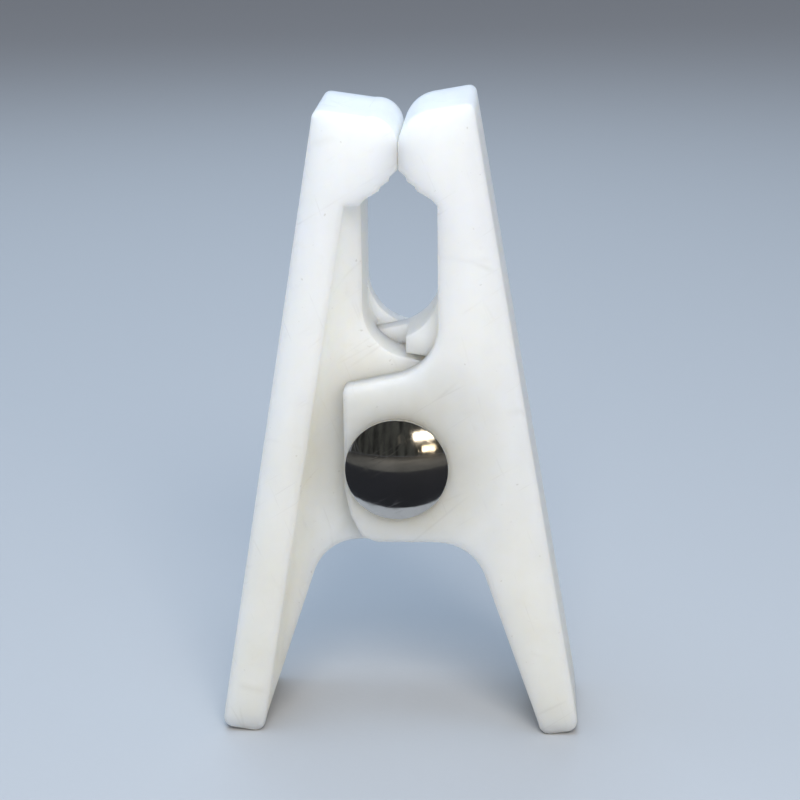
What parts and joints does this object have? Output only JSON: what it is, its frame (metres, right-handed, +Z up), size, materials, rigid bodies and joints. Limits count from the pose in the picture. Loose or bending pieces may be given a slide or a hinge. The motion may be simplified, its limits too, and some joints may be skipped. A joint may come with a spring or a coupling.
{
  "type": "clothespin",
  "caption": "Small white nylon clothespin with two interleaved levers, a torsion spring and a domed rivet as its hinge.",
  "frame": {"origin": "on the floor, midway between the two handle tips, at mid depth", "axes": "+Z up through the hinge to the jaws, +Y back along the hinge axis, +X to the right lever"},
  "size_m": [0.021, 0.0104, 0.0375],
  "materials": {
    "nylon": "satin natural white nylon",
    "spring_steel": "drawn spring wire",
    "rivet_steel": "nickel-plated steel",
    "cap_chrome": "polished"
  },
  "bodies": {
    "left_lever": {"left_lever": "nylon", "torsion_spring": "spring_steel", "rivet_tube": "rivet_steel", "rivet_stud": "rivet_steel", "front_cap": "cap_chrome", "rear_cap": "cap_chrome"},
    "right_lever": {"right_lever": "nylon"}
  },
  "joints": [
    {"name": "jaw_hinge", "type": "hinge", "parent": "left_lever", "child": "right_lever", "pos_m": [0, 0, 0.0166], "axis": [0, 1, 0], "range_deg": [0, 40], "stiffness_Nm_per_rad": 0.0115, "springref_deg": -51.57, "deforming": ["torsion_spring"]}
  ]
}
